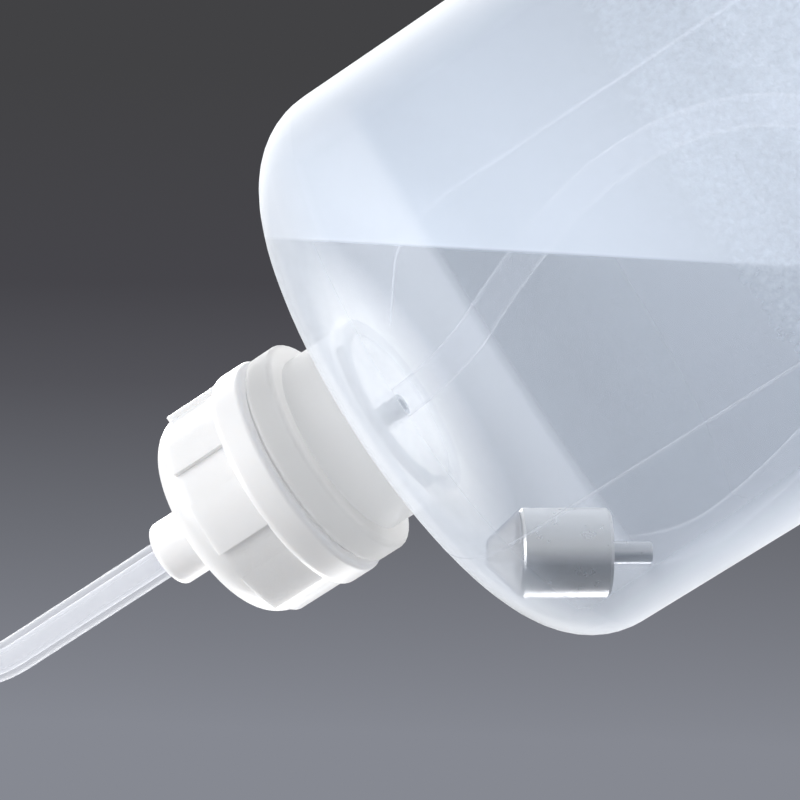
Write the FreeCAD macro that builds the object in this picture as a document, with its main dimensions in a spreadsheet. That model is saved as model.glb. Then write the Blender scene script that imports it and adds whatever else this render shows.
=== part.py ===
"""Laboratory wash bottle with a weighted suction hose, as a parametric document in millimetres.

The bottle stands on z = 0 with its axis on +Z. The delivery tube leaves through the screw cap and
bends towards +X. Inside, a limp hose runs from the tube's nipple to a steel weight, which lies in
the corner of the shoulder, where the liquid collects when the bottle is tipped.
"""

import FreeCAD, Part

import math
import os
import re

import Sketcher

# Driving dimensions: alias, value in millimetres, degrees or a count, and what it is.
SIZES = [
    ("body_radius", 37.5, "outside of the bottle's round wall"),
    ("wall", 1.0, "thickness of the blow-moulded wall"),
    ("base_corner", 6.5, "outside radius between wall and base"),
    ("base_recess", 3.0, "height of the pushed-up middle of the base"),
    ("base_wall", 1.4, "thickness of the base"),
    ("rest_inner", 24.5, "inner radius of the ring the bottle stands on"),
    ("recess_slope", 2.5, "width of the sloping edge of the recess"),
    ("crown_rise", 0.4, "how much lower the recess is at its edge than in its middle"),
    ("inside_step", 0.42, "how much further out the recess's edge is inside the bottle"),
    ("shoulder_height", 149.16, "height where the shoulder's corner circle ends"),
    ("shoulder_corner", 9.5, "outside radius between wall and shoulder"),
    ("shoulder_slope", 9.7, "rise of the shoulder's cone, degrees"),
    ("neck_radius", 12.0, "outside of the neck below the bead"),
    ("neck_fillet", 1.5, "fillet between shoulder and neck"),
    ("bead_radius", 14.5, "outside of the bead below the cap"),
    ("bead_bottom", 160.3, "height of the bead's underside"),
    ("bead_top", 164.3, "height of the bead's upper face"),
    ("bead_round", 0.7, "rounding of the bead's edges"),
    ("thread_root", 11.7, "outside of the neck between the threads"),
    ("bore_radius", 10.1, "bore of the neck"),
    ("rim_height", 176.0, "height of the neck's rim"),
    ("rim_chamfer", 0.4, "chamfer of the rim"),
    ("thread_pitch", 3.5, "lift of the cap in one turn"),
    ("thread_depth", 0.8, "height of a thread ridge"),
    ("ridge_foot", 1.6, "width of a thread ridge at its foot"),
    ("ridge_crest", 0.8, "width of a thread ridge at its crest"),
    ("ridge_bury", 0.3, "how far a ridge's foot is sunk into its wall"),
    ("thread_start", 167.2, "height of the neck thread's first ridge"),
    ("thread_turns", 1.5, "turns of each thread"),
    ("cap_radius", 13.95, "outside of the cap between its ribs"),
    ("cap_bore", 12.9, "inside of the cap"),
    ("cap_bottom", 164.8, "height of the cap's lower edge"),
    ("cap_top", 180.12, "height of the cap's flat top"),
    ("cap_ceiling", 177.6, "height of the cap's inner face"),
    ("cap_round", 4.58, "rounding of the cap's upper edge"),
    ("cap_lead", 0.4, "chamfer inside the cap's lower edge"),
    ("band_radius", 14.9, "outside of the smooth band round the cap's skirt"),
    ("band_top", 169.25, "height of the band's upper edge"),
    ("band_round", 0.7, "rounding of the band's edges"),
    ("rib_count", 8, "grip ribs round the cap"),
    ("rib_height", 0.7, "how far a rib's steep edge stands out"),
    ("rib_span", 28, "width of a rib, degrees"),
    ("rib_root", 0.4, "how deep a rib's root is set into the cap"),
    ("rib_ramp", 14.3, "radius of a rib's long flank"),
    ("rib_turn", 32, "angle of the first rib from +X, degrees"),
    ("rib_bottom", 168.4, "height where the ribs start, inside the band"),
    ("rib_top", 176.3, "height where the ribs end"),
    ("nozzle_radius", 4.27, "outside of the nozzle on the cap"),
    ("nozzle_top", 187.2, "height of the nozzle's mouth"),
    ("nozzle_round", 0.9, "rounding of the nozzle's edge"),
    ("nozzle_foot", 0.5, "fillet between cap and nozzle"),
    ("nozzle_flare", 0.7, "how much wider the nozzle's mouth is than its bore"),
    ("flare_depth", 1.6, "depth of the flared mouth"),
    ("running_gap", 0.05, "radial clearance of a sliding or turning fit"),
    ("tube_radius", 2.4, "outside of the delivery tube"),
    ("tube_bore", 1.5, "bore of the delivery tube"),
    ("tube_foot", 160.0, "height of the delivery tube's lower end"),
    ("tube_rise", 211.0, "height where the delivery tube starts to bend"),
    ("tube_bend", 16.0, "bend radius of the tube's middle line"),
    ("tube_turn", 110.0, "angle of the bend, degrees"),
    ("tube_reach", 31.0, "straight length after the bend, before the tip"),
    ("tip_length", 14.0, "length of the drawn-out tip"),
    ("tip_radius", 1.4, "outside of the tip's end"),
    ("tip_bore", 0.6, "bore of the tip's end"),
    ("disc_radius", 12.4, "outside of the sealing disc"),
    ("disc_gap", 0.05, "play above and below the sealing disc"),
    ("collar_height", 1.4, "height of the nipple's collar"),
    ("nipple_bore", 0.8, "bore of the nipple"),
    ("nipple_up", 6.0, "length of the nipple inside the delivery tube"),
    ("nipple_down", 7.6, "length of the nipple below its collar"),
    ("hose_radius", 2.0, "outside of the suction hose"),
    ("hose_bore", 1.45, "bore of the suction hose"),
    ("hose_gap", 0.3, "play between the collar and the hose's end"),
    ("weight_radius", 5.25, "outside of the suction weight"),
    ("weight_length", 10.6, "length of the suction weight"),
    ("weight_bore", 1.0, "bore through weight, stem and inlet"),
    ("weight_edge", 0.4, "chamfer of the weight's edges"),
    ("weight_across", 30.95, "distance of the weight's rear face from the axis"),
    ("weight_azimuth", 206.9, "direction of the weight's rear face from the axis, degrees from +X"),
    ("weight_height", 135.73, "height of the weight's rear face"),
    ("stem_lean", 38.2, "lean of the weight's stem from straight down, degrees"),
    ("stem_azimuth", 151.1, "direction that the stem leans in, degrees from +X"),
    ("stem_radius", 1.3, "outside of the stem"),
    ("stem_length", 5.0, "length of the stem behind the weight"),
    ("stem_edge", 0.2, "chamfer of the stem's end"),
    ("stem_socket", 4.0, "depth of the stem inside the weight"),
    ("inlet_foot", 5.0, "radius of the inlet cone where it meets the weight"),
    ("inlet_tip", 1.6, "radius of the inlet cone's end"),
    ("inlet_length", 3.6, "length of the inlet cone"),
    ("inlet_plug", 2.5, "radius of the inlet's plug inside the weight"),
    ("plug_depth", 2.5, "depth of the inlet's plug"),
]

# The hose's route between the nipple and the weight, as x, y and z. Its first and last points come
# from the nipple and the weight.
HOSE_ROUTE = [
    (0.0, 0.0, 144.5),
    (6.6, 3.6, 131.0),
    (10.9, 6.0, 116.5),
    (9.6, 5.3, 101.5),
    (2.6, 2.0, 89.0),
    (-9.2, -2.6, 84.3),
    (-20.5, -6.5, 91.0),
    (-27.6, -8.5, 103.5),
    (-31.0, -8.8, 116.5),
    (-32.2, -11.46, 129.05),
]
ARC_SHARE = 0.45  # part of the shorter run that each arc takes
LEAST_TURN = 0.01  # radians; below this the angle between two runs counts as none

ALIASES = {alias for alias, _, _ in SIZES}
ON_AXIS = 1e-9

doc = FreeCAD.newDocument("WashBottle")
sheet = doc.addObject("Spreadsheet::Sheet", "Sizes")


def fill_sheet():
    """Writes each driving dimension into the sheet, with its alias and its meaning."""
    for row, (alias, number, meaning) in enumerate(SIZES, start=1):
        sheet.set(f"A{row}", meaning)
        sheet.set(f"B{row}", str(number))
        sheet.setAlias(f"B{row}", alias)
    doc.recompute()


def bound(text):
    """The expression with every alias written as a cell of the sheet."""
    return re.sub(r"[a-z_]+", lambda word: f"Sizes.{word[0]}" if word[0] in ALIASES else word[0], text)


def size(text):
    """The number that an expression in aliases gives now."""
    found = sheet.evalExpression(bound(text))
    return float(getattr(found, "Value", found))


def bind(feature, **sizes):
    """Binds properties of a feature to expressions in aliases."""
    for name, text in sizes.items():
        feature.setExpression(name, bound(text))


def new_body(name):
    """An empty body whose label is the sub-part's name."""
    body = doc.addObject("PartDesign::Body", name)
    body.Label = name
    return body


def origin_item(body, role):
    """One of the body's own origin planes or axes."""
    return next(item for item in body.Origin.OriginFeatures if item.Role == role)


def new_sketch(body, name, role, lift=None):
    """A sketch on one of the body's planes, raised along the plane's normal by an expression."""
    sketch = body.newObject("Sketcher::SketchObject", name)
    sketch.AttachmentSupport = [(origin_item(body, role), "")]
    sketch.MapMode = "FlatFace"
    if lift:
        sketch.setExpression("AttachmentOffset.Base.z", bound(lift))
    sketch.Visibility = False
    doc.recompute()
    return sketch


def arc_between(start, end, radius, turn):
    """A short arc that turns left or right from start to end, and which of its ends come first."""
    half = (end - start) / 2
    middle = start + half
    left = FreeCAD.Vector(-half.y, half.x, 0).normalize()
    offset = math.sqrt(radius**2 - half.Length**2)
    centre = middle + left * (offset if turn == "left" else -offset)
    first, last = (start, end) if turn == "left" else (end, start)
    angles = [math.atan2(point.y - centre.y, point.x - centre.x) for point in (first, last)]
    circle = Part.Circle(centre, FreeCAD.Vector(0, 0, 1), radius)
    ends = (1, 2) if turn == "left" else (2, 1)
    return Part.ArcOfCircle(circle, angles[0], angles[1]), ends


def pin_to_axes(sketch, edge, end, x_text, y_text):
    """Holds one end of an edge at a place given by two expressions."""
    for kind, axis, text in (("DistanceX", -2, x_text), ("DistanceY", -1, y_text)):
        distance = size(text)
        if abs(distance) < ON_AXIS:
            sketch.addConstraint(Sketcher.Constraint("PointOnObject", edge, end, axis))
            continue
        number = sketch.addConstraint(Sketcher.Constraint(kind, -1, 1, edge, end, distance))
        sketch.setExpression(f"Constraints[{number}]", bound(text))


def outline(sketch, corners, closed=True):
    """Lines and arcs through corners: (x, y), or (x, y, radius, turn) where an arc leaves it."""
    places = [FreeCAD.Vector(size(corner[0]), size(corner[1]), 0) for corner in corners]
    edges = []
    for index, corner in enumerate(corners if closed else corners[:-1]):
        start = places[index]
        end = places[(index + 1) % len(places)]
        if len(corner) == 2:
            edges.append((sketch.addGeometry(Part.LineSegment(start, end)), (1, 2)))
            continue
        arc, ends = arc_between(start, end, size(corner[2]), corner[3])
        edges.append((sketch.addGeometry(arc), ends))
        number = sketch.addConstraint(Sketcher.Constraint("Radius", edges[-1][0], size(corner[2])))
        sketch.setExpression(f"Constraints[{number}]", bound(corner[2]))
    for (edge, ends), corner in zip(edges, corners):
        pin_to_axes(sketch, edge, ends[0], corner[0], corner[1])
    for (edge, ends), (following, its_ends) in zip(edges, edges[1:]):
        sketch.addConstraint(Sketcher.Constraint("Coincident", edge, ends[1], following, its_ends[0]))
    (first, first_ends), (last, last_ends) = edges[0], edges[-1]
    if closed:
        sketch.addConstraint(Sketcher.Constraint("Coincident", last, last_ends[1], first, first_ends[0]))
    else:
        pin_to_axes(sketch, last, last_ends[1], corners[-1][0], corners[-1][1])
    doc.recompute()


def turned(body, name, corners):
    """Turns an outline, given as radius and height, round the body's Z axis."""
    sketch = new_sketch(body, f"{name}_outline", "XZ_Plane")
    outline(sketch, corners)
    feature = body.newObject("PartDesign::Revolution", name)
    feature.Profile = sketch
    feature.ReferenceAxis = (sketch, ["V_Axis"])
    feature.Angle = 360
    doc.recompute()
    return feature


def thread(body, name, foot, crest, height):
    """A helical ridge from radius foot to radius crest, starting at a height."""
    sketch = new_sketch(body, f"{name}_outline", "XZ_Plane")
    corners = [
        (foot, f"{height} - ridge_foot / 2"),
        (crest, f"{height} - ridge_crest / 2"),
        (crest, f"{height} + ridge_crest / 2"),
        (foot, f"{height} + ridge_foot / 2"),
    ]
    outline(sketch, corners)
    ridge = body.newObject("PartDesign::AdditiveHelix", name)
    ridge.Profile = sketch
    ridge.ReferenceAxis = (sketch, ["V_Axis"])
    ridge.Mode = "pitch-turns-angle"
    bind(ridge, Pitch="thread_pitch", Turns="thread_turns")
    doc.recompute()


def make_bottle():
    """Blow-moulded bottle: recessed base, round wall, coned shoulder, beaded and threaded neck."""
    body = new_body("bottle")
    corner = "(shoulder_height - shoulder_corner)"
    cone_r = "(body_radius - shoulder_corner + shoulder_corner * sin(shoulder_slope * 1 deg))"
    cone_z = f"({corner} + shoulder_corner * cos(shoulder_slope * 1 deg))"
    inner_r = f"({cone_r} - wall * sin(shoulder_slope * 1 deg))"
    inner_z = f"({cone_z} - wall * cos(shoulder_slope * 1 deg))"
    neck_foot = f"({cone_z} + ({cone_r} - neck_radius) * tan(shoulder_slope * 1 deg))"
    reach = "(neck_fillet * tan(45 deg - shoulder_slope * 0.5 deg))"
    mouth = f"({inner_z} + ({inner_r} - bore_radius) * tan(shoulder_slope * 1 deg))"
    corners = [
        ("0", "base_recess"),
        ("rest_inner - recess_slope", "base_recess - crown_rise"),
        ("rest_inner", "0"),
        ("body_radius - base_corner", "0", "base_corner", "left"),
        ("body_radius", "base_corner"),
        ("body_radius", corner, "shoulder_corner", "left"),
        (cone_r, cone_z),
        (
            f"neck_radius + {reach} * cos(shoulder_slope * 1 deg)",
            f"{neck_foot} - {reach} * sin(shoulder_slope * 1 deg)",
            "neck_fillet",
            "right",
        ),
        ("neck_radius", f"{neck_foot} + {reach}"),
        ("neck_radius", "bead_bottom"),
        ("bead_radius - bead_round", "bead_bottom", "bead_round", "left"),
        ("bead_radius", "bead_bottom + bead_round"),
        ("bead_radius", "bead_top - bead_round", "bead_round", "left"),
        ("bead_radius - bead_round", "bead_top"),
        ("thread_root", "bead_top"),
        ("thread_root", "rim_height - rim_chamfer"),
        ("thread_root - rim_chamfer", "rim_height"),
        ("bore_radius + rim_chamfer", "rim_height"),
        ("bore_radius", "rim_height - rim_chamfer"),
        ("bore_radius", mouth),
        (inner_r, inner_z, "shoulder_corner - wall", "right"),
        ("body_radius - wall", corner),
        ("body_radius - wall", "base_corner + base_wall - wall", "base_corner - wall", "right"),
        ("body_radius - base_corner", "base_wall"),
        ("rest_inner + inside_step", "base_wall"),
        ("rest_inner - recess_slope + inside_step", "base_recess - crown_rise + base_wall"),
        ("0", "base_recess + base_wall"),
    ]
    turned(body, "bottle_shell", corners)
    crest = "thread_root + thread_depth"
    thread(body, "neck_thread", "thread_root - ridge_bury", crest, "thread_start")
    return body


def make_ribs(body):
    """Saw-tooth grip ribs: each rises along a long flank and drops at a steep edge."""
    sketch = new_sketch(body, "rib_outline", "XY_Plane", lift="rib_bottom")
    sketch.setExpression("AttachmentOffset.Rotation.Angle", bound("rib_turn * 1 deg"))
    buried = "(cap_radius - rib_root)"
    corners = [
        (buried, "0"),
        ("cap_radius + rib_height", "0", "rib_ramp", "left"),
        ("cap_radius * cos(rib_span * 1 deg)", "cap_radius * sin(rib_span * 1 deg)"),
        (f"{buried} * cos(rib_span * 1 deg)", f"{buried} * sin(rib_span * 1 deg)"),
    ]
    outline(sketch, corners)
    rib = body.newObject("PartDesign::Pad", "grip_rib")
    rib.Profile = sketch
    bind(rib, Length="rib_top - rib_bottom")
    doc.recompute()
    ring = body.newObject("PartDesign::PolarPattern", "grip_ribs")
    ring.Originals = [rib]
    ring.Axis = (origin_item(body, "Z_Axis"), [""])
    ring.Angle = 360
    bind(ring, Occurrences="rib_count")
    body.Tip = ring
    doc.recompute()


def make_screw_cap():
    """Screw cap: threaded skirt with a smooth band, ribs and a nozzle for the delivery tube."""
    body = new_body("screw_cap")
    bore = "(tube_radius + running_gap)"
    corners = [
        ("cap_bore + cap_lead", "cap_bottom"),
        ("band_radius - band_round", "cap_bottom", "band_round", "left"),
        ("band_radius", "cap_bottom + band_round"),
        ("band_radius", "band_top - (band_radius - cap_radius)", "band_radius - cap_radius", "left"),
        ("cap_radius", "band_top"),
        ("cap_radius", "cap_top - cap_round", "cap_round", "left"),
        ("cap_radius - cap_round", "cap_top"),
        ("nozzle_radius + nozzle_foot", "cap_top", "nozzle_foot", "right"),
        ("nozzle_radius", "cap_top + nozzle_foot"),
        ("nozzle_radius", "nozzle_top - nozzle_round", "nozzle_round", "left"),
        ("nozzle_radius - nozzle_round", "nozzle_top"),
        (f"{bore} + nozzle_flare", "nozzle_top"),
        (bore, "nozzle_top - flare_depth"),
        (bore, "cap_ceiling"),
        ("cap_bore", "cap_ceiling"),
        ("cap_bore", "cap_bottom + cap_lead"),
    ]
    turned(body, "cap_shell", corners)
    start = "(thread_start + thread_pitch / 2)"
    crest = "cap_bore - thread_depth"
    thread(body, "cap_thread", "cap_bore + ridge_bury", crest, start)
    make_ribs(body)
    return body


def make_sealing_disc():
    """Flat disc between the rim and the cap, with a hole that hugs the delivery tube."""
    body = new_body("sealing_disc")
    bore = "tube_radius + running_gap"
    low = "rim_height + disc_gap"
    high = "cap_ceiling - disc_gap"
    turned(body, "disc", [(bore, low), ("disc_radius", low), ("disc_radius", high), (bore, high)])
    return body


def make_delivery_tube():
    """Bent tube: a ring section swept up, round the bend and out, with a drawn-out tip."""
    body = new_body("delivery_tube")
    back = "(180 deg - tube_turn * 1 deg)"
    bend_x = f"(tube_bend + tube_bend * cos({back}))"
    bend_z = f"(tube_rise + tube_bend * sin({back}))"
    end_x = f"({bend_x} + tube_reach * sin(tube_turn * 1 deg))"
    end_z = f"({bend_z} + tube_reach * cos(tube_turn * 1 deg))"
    path = new_sketch(body, "tube_path", "XZ_Plane")
    bend = ("0", "tube_rise", "tube_bend", "right")
    outline(path, [("0", "tube_foot"), bend, (bend_x, bend_z), (end_x, end_z)], closed=False)
    section = new_sketch(body, "tube_section", "XY_Plane", lift="tube_foot")
    for text in ("tube_radius", "tube_bore"):
        ring = section.addGeometry(Part.Circle(FreeCAD.Vector(), FreeCAD.Vector(0, 0, 1), size(text)))
        section.addConstraint(Sketcher.Constraint("Coincident", ring, 3, -1, 1))
        number = section.addConstraint(Sketcher.Constraint("Radius", ring, size(text)))
        section.setExpression(f"Constraints[{number}]", bound(text))
    doc.recompute()
    pipe = body.newObject("PartDesign::AdditivePipe", "bent_tube")
    pipe.Profile = section
    pipe.Spine = path
    doc.recompute()
    tip = new_sketch(body, "tip_outline", "XZ_Plane")
    facing = FreeCAD.Rotation(FreeCAD.Vector(0, 0, 1), -size("tube_turn"))
    tip.AttachmentOffset = FreeCAD.Placement(FreeCAD.Vector(), facing)
    tip.setExpression("AttachmentOffset.Base.x", bound(end_x))
    tip.setExpression("AttachmentOffset.Base.y", bound(end_z))
    ring = [("tube_bore", "0"), ("tube_radius", "0")]
    outline(tip, [*ring, ("tip_radius", "tip_length"), ("tip_bore", "tip_length")])
    nose = body.newObject("PartDesign::Revolution", "drawn_tip")
    nose.Profile = tip
    nose.ReferenceAxis = (tip, ["V_Axis"])
    nose.Angle = 360
    doc.recompute()
    return body


def make_hose_connector():
    """Nipple: its upper stem sits in the delivery tube, its lower stem in the suction hose."""
    body = new_body("hose_connector")
    low = "(tube_foot - running_gap - collar_height)"
    upper = "(tube_bore - running_gap)"
    lower = "(hose_bore - running_gap)"
    corners = [
        ("nipple_bore", f"{low} - nipple_down"),
        (lower, f"{low} - nipple_down"),
        (lower, low),
        ("tube_radius", low),
        ("tube_radius", f"{low} + collar_height"),
        (upper, f"{low} + collar_height"),
        (upper, f"{low} + collar_height + nipple_up"),
        ("nipple_bore", f"{low} + collar_height + nipple_up"),
    ]
    turned(body, "nipple", corners)
    return body


def weight_placement():
    """Puts a piece drawn along +Z, with its origin on the weight's rear face, where it lies."""
    upright = FreeCAD.Vector(0, 0, 1)
    lean = FreeCAD.Rotation(FreeCAD.Vector(0, 1, 0), 180 - size("stem_lean"))
    turned_to = FreeCAD.Rotation(upright, size("stem_azimuth"))
    place = FreeCAD.Vector(size("weight_across"), 0, size("weight_height"))
    azimuth = FreeCAD.Rotation(upright, size("weight_azimuth"))
    return FreeCAD.Placement(azimuth.multVec(place), turned_to * lean)


def make_suction_weight():
    """Steel weight, bored through, with a socket for the stem and one for the inlet's plug."""
    body = new_body("suction_weight")
    front = "(0 - weight_length)"
    stem = "stem_radius + running_gap"
    corners = [
        ("inlet_plug + running_gap", front),
        ("weight_radius - weight_edge", front),
        ("weight_radius", f"{front} + weight_edge"),
        ("weight_radius", "0 - weight_edge"),
        ("weight_radius - weight_edge", "0"),
        (stem, "0"),
        (stem, "0 - stem_socket"),
        ("weight_bore", "0 - stem_socket"),
        ("weight_bore", f"{front} + plug_depth"),
        ("inlet_plug + running_gap", f"{front} + plug_depth"),
    ]
    turned(body, "weight", corners)
    body.Placement = weight_placement()
    return body


def make_weight_stem():
    """Steel stem, pressed into the weight's rear, that the hose is pushed over."""
    body = new_body("weight_stem")
    corners = [
        ("weight_bore", "running_gap - stem_socket"),
        ("stem_radius", "running_gap - stem_socket"),
        ("stem_radius", "stem_length - stem_edge"),
        ("stem_radius - stem_edge", "stem_length"),
        ("weight_bore", "stem_length"),
    ]
    turned(body, "stem", corners)
    body.Placement = weight_placement()
    return body


def make_inlet_cone():
    """Plastic inlet: a cone on the weight's front with a plug inside it and a bore through."""
    body = new_body("inlet_cone")
    face = "(0 - weight_length - running_gap)"
    corners = [
        ("weight_bore", f"{face} - inlet_length"),
        ("inlet_tip", f"{face} - inlet_length"),
        ("inlet_foot", face),
        ("inlet_plug", face),
        ("inlet_plug", f"{face} + plug_depth"),
        ("weight_bore", f"{face} + plug_depth"),
    ]
    turned(body, "cone", corners)
    body.Placement = weight_placement()
    return body


def hose_points():
    """The route as points in space, from the nipple's collar to the weight's rear face."""
    start = FreeCAD.Vector(0, 0, size("tube_foot - running_gap - collar_height - hose_gap"))
    end = weight_placement().multVec(FreeCAD.Vector(0, 0, size("running_gap")))
    return [start, *(FreeCAD.Vector(*point) for point in HOSE_ROUTE), end]


def smooth_path(points):
    """Straight runs joined by tangent arcs, the length of the whole, and the arcs' radii."""
    edges = []
    radii = []
    reached = points[0]
    for before, corner, after in zip(points, points[1:], points[2:]):
        incoming = corner - before
        outgoing = after - corner
        turn = incoming.getAngle(outgoing)
        if turn < LEAST_TURN:
            raise ValueError("three points of the route are in line")
        cut = ARC_SHARE * min(incoming.Length, outgoing.Length)
        radius = cut / math.tan(turn / 2)
        enter = corner - incoming.normalize() * cut
        leave = corner + outgoing.normalize() * cut
        inwards = (enter + leave) / 2 - corner
        middle = corner + inwards.normalize() * (radius / math.cos(turn / 2) - radius)
        edges.append(Part.LineSegment(reached, enter).toShape())
        edges.append(Part.Arc(enter, middle, leave).toShape())
        radii.append(radius)
        reached = leave
    edges.append(Part.LineSegment(reached, points[-1]).toShape())
    return Part.Wire(edges), radii


def swept(path, radius):
    """A round solid of one radius along a path that starts on the Z axis."""
    start = path.Edges[0].Vertexes[0].Point
    ring = Part.Wire([Part.Circle(start, FreeCAD.Vector(0, 0, -1), radius).toShape()])
    return path.makePipeShell([ring], True, False)


def make_suction_hose():
    """Limp hose with its real bore, from the nipple round to the weight's stem."""
    path, radii = smooth_path(hose_points())
    outer = size("hose_radius")
    inner = size("hose_bore")
    hose = doc.addObject("Part::Feature", "suction_hose")
    hose.Label = "suction_hose"
    hose.Shape = swept(path, outer).cut(swept(path, inner))
    expected = math.pi * (outer**2 - inner**2) * path.Length
    print("hose length %.1f mm, volume %.0f of %.0f mm3" % (path.Length, hose.Shape.Volume, expected))
    print("hose arc radii:", ", ".join(f"{radius:.1f}" for radius in radii))
    return hose


def check_document(pieces):
    """Stops if any object failed to compute or a sub-part has no valid shape."""
    doc.recompute()
    for item in doc.Objects:
        if "Invalid" in item.State or "Error" in item.State:
            raise RuntimeError(f"{item.Name} did not compute: {item.State}")
    for piece in pieces:
        if piece.Shape.isNull() or not piece.Shape.isValid():
            raise RuntimeError(f"{piece.Label} has no valid shape")
        if len(piece.Shape.Solids) != 1:
            raise RuntimeError(f"{piece.Label} is {len(piece.Shape.Solids)} solids")


def export(pieces):
    """Writes each sub-part to its own file."""
    os.makedirs("parts", exist_ok=True)
    for piece in pieces:
        piece.Shape.exportStep(f"parts/{piece.Label}.step")
        print("%-16s %8.0f mm3" % (piece.Label, piece.Shape.Volume))


fill_sheet()
sub_parts = [
    make_bottle(),
    make_screw_cap(),
    make_sealing_disc(),
    make_delivery_tube(),
    make_hose_connector(),
    make_suction_hose(),
    make_suction_weight(),
    make_weight_stem(),
    make_inlet_cone(),
]
check_document(sub_parts)
export(sub_parts)
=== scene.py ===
"""Looks of the wash bottle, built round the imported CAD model.

Lengths are metres and angles are degrees, unless a comment says otherwise.
"""

import math

import bmesh
import bpy
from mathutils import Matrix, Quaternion, Vector
from mathutils.bvhtree import BVHTree


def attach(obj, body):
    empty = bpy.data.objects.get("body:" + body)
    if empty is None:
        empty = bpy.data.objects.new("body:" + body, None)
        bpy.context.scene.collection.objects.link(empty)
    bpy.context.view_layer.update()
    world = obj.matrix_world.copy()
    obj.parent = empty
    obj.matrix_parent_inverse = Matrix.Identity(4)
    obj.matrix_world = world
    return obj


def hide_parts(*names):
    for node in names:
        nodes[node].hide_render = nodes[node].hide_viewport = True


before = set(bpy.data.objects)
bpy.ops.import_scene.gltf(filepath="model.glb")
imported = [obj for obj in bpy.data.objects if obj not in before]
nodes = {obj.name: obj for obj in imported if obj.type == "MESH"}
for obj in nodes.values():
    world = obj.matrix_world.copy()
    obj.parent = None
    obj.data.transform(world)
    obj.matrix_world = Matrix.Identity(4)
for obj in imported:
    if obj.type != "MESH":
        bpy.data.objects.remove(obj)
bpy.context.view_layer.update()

# Camera: low in front of the bottle and looking up, rolled so that the cap hangs to the lower left.
CAMERA_PLACE = Vector((0.0, -0.4200, 0.0302))
CAMERA_AIM = Vector((0.0006, 0.0, 0.1510))
CAMERA_ROLL = -122.92
CAMERA_LENS = 161.96  # millimetres on a 36 mm sensor
CAMERA_NEAR = 0.01
CAMERA_FAR = 20.0

# Lights: name, place, diameter and watts. They are named as they fall on the bottle as it was held.
LIGHT_AIM = Vector((0.0, 0.0, 0.12))
LIGHTS = (
    ("key_light", (0.50, -0.45, 0.80), 0.70, 7.4),
    ("back_light", (0.42, 0.80, 0.42), 0.60, 8.0),
    ("low_light", (-0.60, 0.50, 0.70), 0.60, 7.4),
)
WORLD_GREY = (0.90, 0.90, 0.90, 1.0)
WORLD_STRENGTH = 0.52

# How many see-through surfaces light may cross: the bottle, the liquid and the hose have two each or more.
TRANSPARENT_BOUNCES = 32

# Stage: a pale floor, and a dark backdrop that glows with painted light, lighter towards the side that was
# low.
FLOOR_GREY = (0.42, 0.42, 0.42, 1.0)
FLOOR_HALF_SIDE = 3.0
BACKDROP_DISTANCE = 1.60
BACKDROP_HALF_WIDTH = 1.2
BACKDROP_HALF_HEIGHT = 0.7
BACKDROP_UP = (0.84, 0.0, -0.54)
BACKDROP_SPAN = (-0.527, -0.134)  # distances along BACKDROP_UP of the first tone and the last
# The backdrop's painted light: the tones it glows in, from the lighter end to the darker one.
BACKDROP_PAINTED_LIGHT = (
    (0.00, (0.239, 0.250, 0.287, 1.0)),
    (0.30, (0.150, 0.156, 0.178, 1.0)),
    (0.53, (0.087, 0.087, 0.100, 1.0)),
    (0.68, (0.061, 0.060, 0.069, 1.0)),
    (1.00, (0.0545, 0.0545, 0.058, 1.0)),
)

# The liquid's tilted level, as the bottle was held: which way it faces, and its height on the bottle's axis.
LEVEL_AZIMUTH = 8.44
LEVEL_ELEVATION = -35.21
LEVEL_ON_AXIS = 0.1176
LEVEL_FADE = 0.0002  # half the width over which the wall turns from wetted to dry

# The liquid's shape, found by rays from LIQUID_MIDDLE to the wall's inner surface.
LIQUID_MIDDLE = Vector((0.0, 0.0, 0.110))
LIQUID_SLOPES = (-62.0, 76.0)
LIQUID_STEPS = 120
LIQUID_SIDES = 96
LIQUID_GAP = 0.0002
QUAD_CORNERS = 4  # faces with more corners, which are the ends and the cut, are shaded flat

# The mould's two parting lines, which run from the base's corner to the neck.
SEAM_AZIMUTHS = (238.0, 58.0)
SEAM_SLOPES = (-64.5, 76.0)
SEAM_STEPS = 240
SEAM_WIDTH = 0.0005
SEAM_HEIGHT = 0.00006
SEAM_BURIED = 0.00006
SEAM_SIDE_HEIGHT = 0.6 * SEAM_HEIGHT  # a quarter of the width off the ridge's middle

# A point inside the bottle that its outer surfaces face away from, and its inner ones face.
BOTTLE_MIDDLE = Vector((0.0, 0.0, 0.080))

# The wall's moulded grain starts below GRAIN_TOP, and the wall is smooth above it.
GRAIN_TOP = 0.104
GRAIN_FADE = 0.005
GRAIN_SIZE = 0.0009
GRAIN_DETAIL = 3.0
GRAIN_DEPTH = 0.00015

# Where the blown wall looks thicker: depths are along +Y, from the front to the back, and heights along +Z.
UNEVEN_DEPTHS = (-0.020, 0.020)
BACK_DEPTHS = (0.0, 0.012)
BACK_SLANT = 0.31  # height gained for each metre of depth by the line where the back's shoulder starts
BACK_SHOULDER = (0.1346, 0.1364)
FRONT_SHOULDER = (0.1385, 0.1435)
NECK_HEIGHTS = (0.1500, 0.1520)
NECK_FOOT = 0.151  # above this height the neck is milky on its inner surface too

# Where the wall's clearness changes with height, above the liquid's level and below it.
DRY_HEIGHTS = (0.100, 0.130)
WET_HEIGHTS = (0.100, 0.138)

# The suction hose's route, as in part.py.
HOSE_DIAMETER = 0.0040
HOSE_ROUTE = (
    (0.0, 0.0, 0.15825),
    (0.0, 0.0, 0.1445),
    (0.0066, 0.0036, 0.1310),
    (0.0109, 0.0060, 0.1165),
    (0.0096, 0.0053, 0.1015),
    (0.0026, 0.0020, 0.0890),
    (-0.0092, -0.0026, 0.0843),
    (-0.0205, -0.0065, 0.0910),
    (-0.0276, -0.0085, 0.1035),
    (-0.0310, -0.0088, 0.1165),
    (-0.0322, -0.01146, 0.12905),
    (-0.02763, -0.01399, 0.13569),
)

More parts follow.
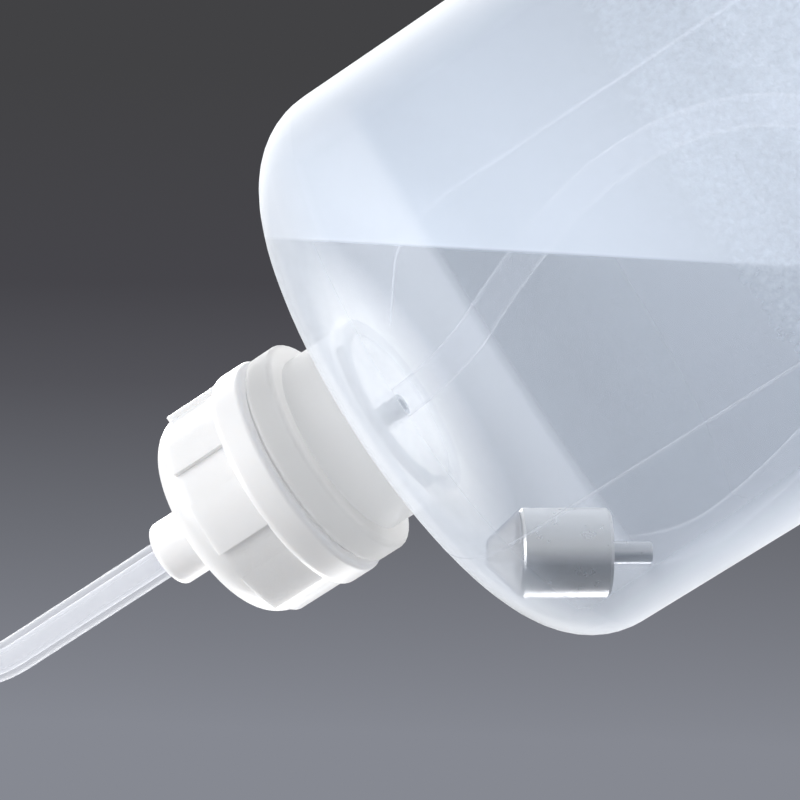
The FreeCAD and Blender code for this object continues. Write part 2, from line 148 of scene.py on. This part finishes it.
# The way from the weight's inlet to its stem: the stem's lean from straight down, and its azimuth.
STEM_LEAN = 38.2
STEM_AZIMUTH = 151.1

# Steel's painted reflection: the side painted bright, as if it mirrored the lit wall, and bands as a place
# from the far side (0) to it (1) and the dark colour's share there.
PAINTED_REFLECTION_SIDE = (0.84, 0.15, -0.52)
PAINTED_REFLECTION_BANDS = ((0.08, 0.70), (0.30, 1.0), (0.38, 1.0), (0.60, 0.15), (0.86, 0.0))
RING_PITCH = 0.0003

# Colours.
WALL_THIN = (0.78, 0.86, 0.97, 1.0)
WALL_THICK = (0.97, 0.96, 0.945, 1.0)
SEAM_COLOUR = (0.92, 0.93, 0.95, 1.0)
CAP_COLOUR = (0.87, 0.87, 0.88, 1.0)
CAP_GLOW = (1.0, 0.95, 0.9)  # how far red, green and blue light spread in the cap, times CAP_GLOW_DEPTH
TUBE_COLOUR = (0.86, 0.88, 0.92, 1.0)
DISC_COLOUR = (0.88, 0.88, 0.86, 1.0)
NIPPLE_COLOUR = (0.90, 0.90, 0.90, 1.0)
HOSE_COLOUR = (0.93, 0.94, 0.95, 1.0)
# The weight's and the stem's bright and dark colours are a painted reflection, laid on by which way the
# steel faces.
WEIGHT_PAINTED_BRIGHT = (0.78, 0.77, 0.75, 1.0)
WEIGHT_PAINTED_DARK = (0.25, 0.25, 0.26, 1.0)
STEM_PAINTED_BRIGHT = (0.60, 0.60, 0.60, 1.0)
STEM_PAINTED_DARK = (0.16, 0.17, 0.19, 1.0)
INLET_FACE = (0.80, 0.78, 0.76, 1.0)
# Painted shade that darkens the inlet towards its outline.
INLET_PAINTED_SHADE = (0.30, 0.32, 0.38, 1.0)
WINDOW_TINT = (0.99, 0.99, 0.995, 1.0)
LIQUID_TINT = (0.94, 0.945, 0.95, 1.0)
LIQUID_GLOSS = (0.80, 0.86, 0.92, 1.0)

# Other facts of the materials.
CAP_GLOW_DEPTH = 0.0015
CAP_IOR = 1.50
CLEAR_IOR = 1.51
INNER_CLEAR = 0.97  # share seen through the wall's inner surface
LIQUID_CLEAR = 0.95


def outward(azimuth):
    """The level direction away from the axis at this azimuth."""
    angle = math.radians(azimuth)
    return Vector((math.cos(angle), math.sin(angle), 0.0))


def level_up():
    """The way up as the bottle was held, which the liquid's surface faces."""
    tilt = math.radians(LEVEL_ELEVATION)
    return outward(LEVEL_AZIMUTH) * math.cos(tilt) + Vector((0, 0, math.sin(tilt)))


def stem_way():
    """The direction of the weight's axis, from its inlet to its stem."""
    lean = math.radians(STEM_LEAN)
    return outward(STEM_AZIMUTH) * math.sin(lean) - Vector((0, 0, math.cos(lean)))


# ---------------------------------------------------------------- camera, stage and lights


def make_camera():
    data = bpy.data.cameras.new("camera")
    data.lens = CAMERA_LENS
    data.clip_start = CAMERA_NEAR
    data.clip_end = CAMERA_FAR
    camera = bpy.data.objects.new("camera", data)
    level = (CAMERA_AIM - CAMERA_PLACE).to_track_quat("-Z", "Y")
    camera.rotation_mode = "QUATERNION"
    camera.rotation_quaternion = level @ Quaternion((0, 0, 1), math.radians(CAMERA_ROLL))
    camera.location = CAMERA_PLACE
    bpy.context.scene.collection.objects.link(camera)
    bpy.context.scene.camera = camera


def area_light(name, place, size, watts):
    """A round white light, aimed at the bottle."""
    data = bpy.data.lights.new(name, "AREA")
    data.shape = "DISK"
    data.size = size
    data.energy = watts
    light = bpy.data.objects.new(name, data)
    light.location = place
    light.rotation_mode = "QUATERNION"
    light.rotation_quaternion = (LIGHT_AIM - Vector(place)).to_track_quat("-Z", "Y")
    bpy.context.scene.collection.objects.link(light)


def make_lights():
    for name, place, size, watts in LIGHTS:
        area_light(name, place, size, watts)


def make_world():
    world = bpy.data.worlds.new("studio")
    world.use_nodes = True
    background = world.node_tree.nodes["Background"]
    background.inputs["Color"].default_value = WORLD_GREY
    background.inputs["Strength"].default_value = WORLD_STRENGTH
    bpy.context.scene.world = world


def flat_sheet(name, centre, across, along, made_of):
    """A rectangle about centre with the half sides across and along, marked as stage."""
    mesh = bpy.data.meshes.new(name)
    first_side = [centre - across - along, centre + across - along]
    other_side = [centre + across + along, centre - across + along]
    mesh.from_pydata(first_side + other_side, [], [(0, 1, 2, 3)])
    mesh.materials.append(made_of)
    sheet = bpy.data.objects.new(name, mesh)
    bpy.context.scene.collection.objects.link(sheet)


def make_floor():
    across = Vector((FLOOR_HALF_SIDE, 0, 0))
    along = Vector((0, FLOOR_HALF_SIDE, 0))
    flat_sheet("floor", Vector((0, 0, 0)), across, along, floor_paper())


def make_backdrop():
    centre = Vector((0, BACKDROP_DISTANCE, BACKDROP_HALF_HEIGHT))
    across = Vector((BACKDROP_HALF_WIDTH, 0, 0))
    along = Vector((0, 0, BACKDROP_HALF_HEIGHT))
    flat_sheet("backdrop", centre, across, along, backdrop_painted_light())


# ---------------------------------------------------------------- material helpers


def new_material(name):
    """An empty material and its node tree."""
    made = bpy.data.materials.new(name)
    made.use_nodes = True
    made.node_tree.nodes.clear()
    return made, made.node_tree


def finished(made, tree, shader):
    """The material, with this shader as its surface."""
    node(tree, "OutputMaterial", {"Surface": shader})
    return made


def node(tree, kind, inputs=None, **settings):
    """A new shader node. An input is a number, a colour or another node's output."""
    made = tree.nodes.new("ShaderNode" + kind)
    for name, value in settings.items():
        setattr(made, name, value)
    for name, value in (inputs or {}).items():
        if isinstance(value, bpy.types.NodeSocket):
            tree.links.new(value, made.inputs[name])
        else:
            made.inputs[name].default_value = value
    return made


def mixed(tree, share, first, second):
    """The shader first where share is 0, and second where it's 1."""
    return node(tree, "MixShader", {"Fac": share, 1: first, 2: second}).outputs["Shader"]


def mixed_number(tree, share, first, second):
    """The number first where share is 0, and second where it's 1."""
    return node(tree, "Mix", {"Factor": share, "A": first, "B": second}, data_type="FLOAT").outputs["Result"]


def mixed_colour(tree, share, first, second):
    """The colour first where share is 0, and second where it's 1. A Mix node takes them at 6 and 7."""
    return node(tree, "Mix", {"Factor": share, 6: first, 7: second}, data_type="RGBA").outputs[2]


def maths(tree, operation, first, second):
    return node(tree, "Math", {0: first, 1: second}, operation=operation).outputs["Value"]


def dot(tree, first, second):
    return node(tree, "VectorMath", {0: first, 1: second}, operation="DOT_PRODUCT").outputs["Value"]


def ranged(tree, value, span, result):
    """value carried from the two ends of span to the two of result, and held beyond them."""
    ends = {"From Min": span[0], "From Max": span[1], "To Min": result[0], "To Max": result[1]}
    return node(tree, "MapRange", {"Value": value, **ends}, clamp=True).outputs["Result"]


def ramp(tree, value, stops):
    """A colour for a value from 0 to 1. Each stop is a place in that range and a colour."""
    made = node(tree, "ValToRGB", {"Fac": value})
    elements = made.color_ramp.elements
    low, high = elements
    low.position, low.color = stops[0]
    high.position, high.color = stops[-1]
    for position, colour in stops[1:-1]:
        elements.new(position).color = colour
    return made.outputs["Color"]


def here(tree):
    """The shaded point in the row frame, because every CAD object sits at the origin."""
    return node(tree, "TexCoord").outputs["Object"]


def here_along(tree, axis):
    """The shaded point's coordinate along the axis with this letter."""
    return node(tree, "SeparateXYZ", {"Vector": here(tree)}).outputs[axis]


def speckle(tree, size, detail=2.0):
    """Noise from 0 to 1 whose spots are about size across."""
    inputs = {"Vector": here(tree), "Scale": 1.0 / size, "Detail": detail}
    return node(tree, "TexNoise", inputs).outputs["Fac"]


def bumped(tree, height, depth):
    """A normal from a height of 0 to 1 that stands for depth metres."""
    return node(tree, "Bump", {"Height": height, "Distance": depth, "Strength": 1.0}).outputs["Normal"]


def facing(tree):
    """0 where the surface is seen head on, and 1 at its outline."""
    return node(tree, "LayerWeight", {"Blend": 0.5}).outputs["Facing"]


def opaque(tree, colour, roughness, normal):
    """The shader node of a surface that isn't seen through."""
    return node(tree, "BsdfPrincipled", {"Base Color": colour, "Roughness": roughness, "Normal": normal})


def milky(tree, colour, clear, through, roughness, normal):
    """Translucent plastic. clear is the share seen through, and through is the share of the rest that is lit
    from behind."""
    surface = opaque(tree, colour, roughness, normal)
    surface.inputs["IOR"].default_value = CLEAR_IOR
    behind = node(tree, "BsdfTranslucent", {"Color": colour, "Normal": normal})
    body = mixed(tree, through, surface.outputs["BSDF"], behind.outputs["BSDF"])
    window = node(tree, "BsdfTransparent", {"Color": WINDOW_TINT})
    return mixed(tree, clear, body, window.outputs["BSDF"])


# ---------------------------------------------------------------- the bottle's plastic


def outside(tree):
    """1 on the bottle's outer surface and 0 on its inner one, from which way each faces."""
    geometry = node(tree, "NewGeometry")
    side = ranged(tree, geometry.outputs["Backfacing"], (0.0, 1.0), (1.0, -1.0))
    away = node(tree, "VectorMath", {0: here(tree), 1: BOTTLE_MIDDLE}, operation="SUBTRACT")
    along = dot(tree, geometry.outputs["Normal"], away.outputs["Vector"])
    return maths(tree, "GREATER_THAN", maths(tree, "MULTIPLY", along, side), 0.0)


def wet(tree):
    """1 below the tilted level, and 0 above it."""
    level = LEVEL_ON_AXIS * level_up().z
    above = dot(tree, here(tree), level_up())
    return ranged(tree, above, (level - LEVEL_FADE, level + LEVEL_FADE), (1.0, 0.0))


def wall_thickness(tree, height):
    """How thick the blown wall looks, from 0 to 1: most at the shoulder, the neck and the outline.

    At the back the shoulder starts along a slanted line, as it looks through the liquid and the wall."""
    depth = here_along(tree, "Y")
    uneven = ranged(tree, depth, UNEVEN_DEPTHS, (0.0, 0.12))
    slanted = maths(tree, "SUBTRACT", height, maths(tree, "MULTIPLY", depth, BACK_SLANT))
    back = ranged(tree, slanted, BACK_SHOULDER, (0.0, 0.27))
    front = ranged(tree, height, FRONT_SHOULDER, (0.0, 0.40))
    shoulder = mixed_number(tree, ranged(tree, depth, BACK_DEPTHS, (0.0, 1.0)), front, back)
    neck = ranged(tree, height, NECK_HEIGHTS, (0.0, 0.50))
    blown = maths(tree, "ADD", uneven, maths(tree, "ADD", shoulder, neck))
    outline = ranged(tree, facing(tree), (0.45, 1.0), (0.0, 0.95))
    return maths(tree, "MAXIMUM", blown, outline)


def wall_clear(tree, height, thick, leather):
    """The share seen through the outer surface: less where it's thicker, and uneven in the grain."""
    dry = ranged(tree, height, DRY_HEIGHTS, (0.66, 0.47))
    wetted = ranged(tree, height, WET_HEIGHTS, (0.70, 0.82))
    even = ranged(tree, thick, (0.0, 1.0), (mixed_number(tree, wet(tree), dry, wetted), 0.05))
    pitted = ranged(tree, leather, (0.3, 0.7), (0.03, -0.09))
    return maths(tree, "ADD", even, pitted)


def bottle_plastic():
    """Natural polyethylene, milkier where it's thicker, with a fine moulded grain on the lower wall.

    The outer surface carries nearly all the milkiness, so that the inner one draws no second outline."""
    made, tree = new_material("bottle_plastic")
    height = here_along(tree, "Z")
    grained = ranged(tree, height, (GRAIN_TOP, GRAIN_TOP - GRAIN_FADE), (0.0, 1.0))
    leather = maths(tree, "MULTIPLY", speckle(tree, GRAIN_SIZE, GRAIN_DETAIL), grained)
    normal = bumped(tree, leather, depth=GRAIN_DEPTH)
    thick = wall_thickness(tree, height)
    skin = maths(tree, "MAXIMUM", outside(tree), maths(tree, "GREATER_THAN", height, NECK_FOOT))
    clear = mixed_number(tree, skin, INNER_CLEAR, wall_clear(tree, height, thick, leather))
    colour = mixed_colour(tree, thick, WALL_THIN, WALL_THICK)
    through = ranged(tree, thick, (0.6, 1.0), (0.75, 0.90))
    return finished(made, tree, milky(tree, colour, clear, through, roughness=0.38, normal=normal))


def seam_plastic():
    """The same plastic as the wall's, but thin, so that the ridge shows as a faint line."""
    made, tree = new_material("seam_plastic")
    normal = bumped(tree, speckle(tree, size=0.001), depth=0.00001)
    clear = ranged(tree, facing(tree), (0.3, 1.0), (0.88, 0.72))
    return finished(made, tree, milky(tree, SEAM_COLOUR, clear, through=0.75, roughness=0.38, normal=normal))


# ---------------------------------------------------------------- the other materials


def cap_plastic():
    """White moulded plastic, which light enters a little."""
    made, tree = new_material("cap_plastic")
    normal = bumped(tree, speckle(tree, size=0.0004), depth=0.00001)
    surface = opaque(tree, CAP_COLOUR, roughness=0.38, normal=normal)
    surface.inputs["IOR"].default_value = CAP_IOR
    surface.inputs["Subsurface Weight"].default_value = 0.6
    surface.inputs["Subsurface Radius"].default_value = CAP_GLOW
    surface.inputs["Subsurface Scale"].default_value = CAP_GLOW_DEPTH
    return finished(made, tree, surface.outputs["BSDF"])


def tube_plastic():
    """Natural polyethylene, thin enough for the tube's bore to show."""
    made, tree = new_material("tube_plastic")
    normal = bumped(tree, speckle(tree, size=0.0015), depth=0.00002)
    clear = ranged(tree, facing(tree), (0.1, 0.95), (0.78, 0.52))
    return finished(made, tree, milky(tree, TUBE_COLOUR, clear, through=0.60, roughness=0.30, normal=normal))


def disc_foam():
    """Foamed polyethylene with fine cells."""
    made, tree = new_material("disc_foam")
    normal = bumped(tree, speckle(tree, size=0.0003), depth=0.00005)
    surface = opaque(tree, DISC_COLOUR, roughness=0.6, normal=normal)
    return finished(made, tree, surface.outputs["BSDF"])


def nipple_plastic():
    """White moulded plastic."""
    made, tree = new_material("nipple_plastic")
    normal = bumped(tree, speckle(tree, size=0.0006), depth=0.00001)
    surface = opaque(tree, NIPPLE_COLOUR, roughness=0.35, normal=normal)
    return finished(made, tree, surface.outputs["BSDF"])


def hose_rubber():
    """Clear silicone, of which the outline shows most."""
    made, tree = new_material("hose_rubber")
    normal = bumped(tree, speckle(tree, size=0.003), depth=0.00002)
    clear = ranged(tree, facing(tree), (0.3, 1.0), (0.95, 0.76))
    return finished(made, tree, milky(tree, HOSE_COLOUR, clear, through=0.8, roughness=0.25, normal=normal))


def mean_colour(first, second, share):
    """first where share is 0 and second where it's 1."""
    return [one + (other - one) * share for one, other in zip(first, second)]


def steel(name, bright, dark):
    """Turned steel with fine rings round the weight's axis, and a painted reflection in its base colour:
    bright on one side, dark on the other.
    """
    made, tree = new_material(name)
    along = maths(tree, "DIVIDE", dot(tree, here(tree), stem_way()), RING_PITCH)
    rings = node(tree, "TexNoise", {"W": along, "Scale": 1.0}, noise_dimensions="1D").outputs["Fac"]
    # Painted reflection: how far the surface faces the side that is painted bright.
    turned = dot(tree, node(tree, "NewGeometry").outputs["Normal"], PAINTED_REFLECTION_SIDE)
    bands = [(position, mean_colour(bright, dark, share)) for position, share in PAINTED_REFLECTION_BANDS]
    # The painted reflection's colour, from the dark colour on the far side to the bright one.
    shade = ramp(tree, ranged(tree, turned, (-1.0, 1.0), (0.0, 1.0)), bands)
    worn = ranged(tree, speckle(tree, size=0.0015), (0.3, 0.7), (0.26, 0.36))
    surface = opaque(tree, shade, roughness=worn, normal=bumped(tree, rings, depth=0.00001))
    surface.inputs["Metallic"].default_value = 1.0
    return finished(made, tree, surface.outputs["BSDF"])


def inlet_plastic():
    """Natural moulded plastic, less clear towards its outline, where painted shade darkens it."""
    made, tree = new_material("inlet_plastic")
    normal = bumped(tree, speckle(tree, size=0.001), depth=0.00002)
    # 0 where the inlet is seen head on and 1 at its outline: it lays on the painted shade and makes the
    # inlet less clear there.
    outline_and_painted_shade = ranged(tree, facing(tree), (0.45, 0.90), (0.0, 1.0))
    colour = mixed_colour(tree, outline_and_painted_shade, INLET_FACE, INLET_PAINTED_SHADE)
    clear = ranged(tree, outline_and_painted_shade, (0.0, 1.0), (0.45, 0.10))
    return finished(made, tree, milky(tree, colour, clear, through=0.4, roughness=0.35, normal=normal))


def liquid_clear():
    """Clear liquid with a slight gloss, which doesn't bend light."""
    made, tree = new_material("liquid_clear")
    window = node(tree, "BsdfTransparent", {"Color": LIQUID_TINT})
    gloss = node(tree, "BsdfPrincipled", {"Base Color": LIQUID_GLOSS, "Roughness": 0.10})
    return finished(made, tree, mixed(tree, LIQUID_CLEAR, gloss.outputs["BSDF"], window.outputs["BSDF"]))


def floor_paper():
    made, tree = new_material("floor_paper")
    surface = node(tree, "BsdfPrincipled", {"Base Color": FLOOR_GREY, "Roughness": 0.9})
    return finished(made, tree, surface.outputs["BSDF"])


def backdrop_painted_light():
    """Dark grey sheet that glows with painted light, lighter towards one side as if lit from there."""
    made, tree = new_material("backdrop_painted_light")
    where = dot(tree, here(tree), BACKDROP_UP)
    tone = ramp(tree, ranged(tree, where, BACKDROP_SPAN, (0.0, 1.0)), BACKDROP_PAINTED_LIGHT)
    # Painted light: the sheet glows in these tones and takes no light from the lamps.
    return finished(made, tree, node(tree, "Emission", {"Color": tone}).outputs["Emission"])


# ---------------------------------------------------------------- shapes


def bvh_of(name):
    """A CAD node's mesh, ready for rays."""
    mesh = nodes[name].data
    return BVHTree.FromPolygons([v.co for v in mesh.vertices], [p.vertices for p in mesh.polygons])


def new_piece(name, bm, made_of, body):
    """A smooth piece made from a bmesh, which rides on a body."""
    mesh = bpy.data.meshes.new(name)
    bmesh.ops.recalc_face_normals(bm, faces=bm.faces)
    bm.to_mesh(mesh)
    bm.free()
    for polygon in mesh.polygons:
        polygon.use_smooth = True
    mesh.materials.append(made_of)
    piece = bpy.data.objects.new(name, mesh)
    bpy.context.scene.collection.objects.link(piece)
    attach(piece, body)
    return piece


def skin_rings(bm, rings):
    """Joins rings of equally many vertices into a closed solid, with a face over each end."""
    for first, second in zip(rings, rings[1:]):
        for side in range(len(first)):
            after = (side + 1) % len(first)
            bm.faces.new((first[side], first[after], second[after], second[side]))
    bm.faces.new(rings[0])
    bm.faces.new(rings[-1])


def wall_points(wall, azimuth, inside, slopes, count, centre):
    """Points and normals on the bottle, met by rays through centre, on its axis, at count + 1 slopes.

    With inside they are on the inner surface, and otherwise on the outer one, met from a metre away."""
    low, high = slopes
    found = []
    for step in range(count + 1):
        slope = math.radians(low + (high - low) * step / count)
        ray = outward(azimuth) * math.cos(slope) + Vector((0, 0, math.sin(slope)))
        if inside:
            point, normal, _, _ = wall.ray_cast(centre, ray)
        else:
            point, normal, _, _ = wall.ray_cast(centre + ray, -ray)
        found.append((point, normal))
    return found


def make_seam(wall, number, azimuth, made_of):
    """A low rounded ridge where the mould's halves met, whose edges are sunk into the wall."""
    aside = outward(azimuth + 90.0)
    rising = [(-0.5, -SEAM_BURIED), (-0.25, SEAM_SIDE_HEIGHT)]
    falling = [(0.25, SEAM_SIDE_HEIGHT), (0.5, -SEAM_BURIED)]
    section = [*rising, (0.0, SEAM_HEIGHT), *falling]
    bm = bmesh.new()
    rings = []
    for point, normal in wall_points(wall, azimuth, False, SEAM_SLOPES, SEAM_STEPS, BOTTLE_MIDDLE):
        lift = normal - normal.dot(aside) * aside
        lift.normalize()
        rings.append([bm.verts.new(point + aside * SEAM_WIDTH * x + lift * y) for x, y in section])
    skin_rings(bm, rings)
    new_piece(f"mould_seam_{number}", bm, made_of, "bottle")


def filled_bottle(wall):
    """The bottle's inside as a turned solid, a gap away from the wall."""
    bm = bmesh.new()
    rings = []
    for point, _ in wall_points(wall, 0.0, True, LIQUID_SLOPES, LIQUID_STEPS, LIQUID_MIDDLE):
        inner = point + (LIQUID_MIDDLE - point).normalized() * LIQUID_GAP
        turned = [outward(360.0 * step / LIQUID_SIDES) * inner.x for step in range(LIQUID_SIDES)]
        rings.append([bm.verts.new(Vector((spot.x, spot.y, inner.z))) for spot in turned])
    skin_rings(bm, rings)
    return bm


def make_liquid(wall, made_of):
    """The space inside the wall below the tilted level, with a flat face at the level."""
    bm = filled_bottle(wall)
    everything = bm.verts[:] + bm.edges[:] + bm.faces[:]
    level = Vector((0, 0, LEVEL_ON_AXIS))
    cut = bmesh.ops.bisect_plane(bm, geom=everything, plane_co=level, plane_no=level_up(), clear_outer=True)
    edges = [part for part in cut["geom_cut"] if isinstance(part, bmesh.types.BMEdge)]
    bmesh.ops.contextual_create(bm, geom=edges)
    piece = new_piece("liquid", bm, made_of, "bottle")
    for face in piece.data.polygons:
        face.use_smooth = len(face.vertices) <= QUAD_CORNERS


def make_hose(made_of):
    """The limp hose from the nipple to the weight, as one smooth line."""
    data = bpy.data.curves.new("suction_hose_tube", "CURVE")
    data.dimensions = "3D"
    spline = data.splines.new("NURBS")
    spline.points.add(len(HOSE_ROUTE) - 1)
    for point, spot in zip(spline.points, HOSE_ROUTE):
        point.co = (*spot, 1.0)
    spline.order_u = 3
    spline.use_endpoint_u = True
    data.resolution_u = 12
    data.bevel_depth = HOSE_DIAMETER / 2
    data.bevel_resolution = 5
    data.use_fill_caps = True
    data.materials.append(made_of)
    hose = bpy.data.objects.new("suction_hose_tube", data)
    bpy.context.scene.collection.objects.link(hose)
    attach(hose, "suction")
    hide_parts("suction_hose")


def dress(name, made_of):
    """Gives a CAD node its material."""
    for slot in nodes[name].material_slots:
        slot.material = made_of


# ---------------------------------------------------------------- the scene

bpy.context.scene.view_settings.view_transform = "Standard"
bpy.context.scene.cycles.transparent_max_bounces = TRANSPARENT_BOUNCES

make_camera()
make_hose(hose_rubber())
make_lights()
make_world()
make_floor()
make_backdrop()

dress("bottle", bottle_plastic())
dress("screw_cap", cap_plastic())
dress("sealing_disc", disc_foam())
dress("delivery_tube", tube_plastic())
dress("hose_connector", nipple_plastic())
dress("suction_weight", steel("weight_steel", WEIGHT_PAINTED_BRIGHT, WEIGHT_PAINTED_DARK))
dress("weight_stem", steel("stem_steel", STEM_PAINTED_BRIGHT, STEM_PAINTED_DARK))
dress("inlet_cone", inlet_plastic())

bottle_wall = bvh_of("bottle")
seam_look = seam_plastic()
for number, azimuth in enumerate(SEAM_AZIMUTHS, 1):
    make_seam(bottle_wall, number, azimuth, seam_look)
make_liquid(bottle_wall, liquid_clear())

bpy.context.view_layer.update()
